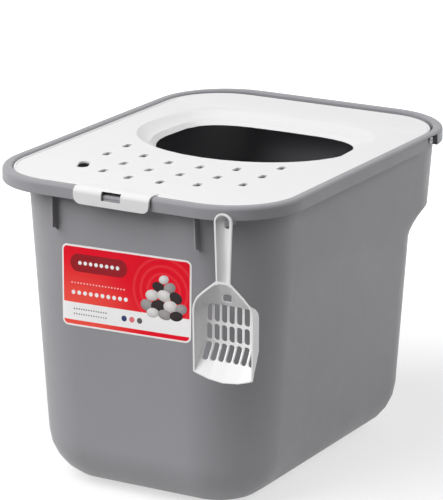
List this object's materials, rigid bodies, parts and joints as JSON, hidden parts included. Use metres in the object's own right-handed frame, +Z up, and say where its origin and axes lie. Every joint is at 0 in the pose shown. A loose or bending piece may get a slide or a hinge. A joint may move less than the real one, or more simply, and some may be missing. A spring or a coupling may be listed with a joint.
{
  "type": "top entry cat litter box",
  "caption": "Tall tapered litter tub with a flanged rim, a hinged recessed lid with an oval entry hole and paw slots, and a slotted scoop hanging at one front corner.",
  "frame": {"origin": "middle of the rim outline, projected onto the floor that the tub stands on", "axes": "+X to the right across the width as seen from the latch end, +Y from the latch end to the hinge end, +Z up"},
  "size_m": [0.374, 0.5082, 0.3715],
  "materials": {
    "tub_plastic": "fine satin moulded grey polypropylene",
    "white_plastic": "satin moulded white polypropylene",
    "label_film": "printed red self-adhesive film"
  },
  "bodies": {
    "tub_body": {"tub": "tub_plastic", "label_sticker": "label_film"},
    "lid_body": {"lid": "white_plastic"},
    "scoop_body": {"scoop": "white_plastic"}
  },
  "joints": [
    {"name": "lid_hinge", "type": "hinge", "parent": "tub_body", "child": "lid_body", "pos_m": [0, 0.156, 0.362], "axis": [-1, 0, 0], "range_deg": [0, 100]},
    {"name": "scoop_lift_off", "type": "slide", "parent": "tub_body", "child": "scoop_body", "axis": [0, -0.9903, 0.1392], "range_m": [0, 0.07]}
  ]
}
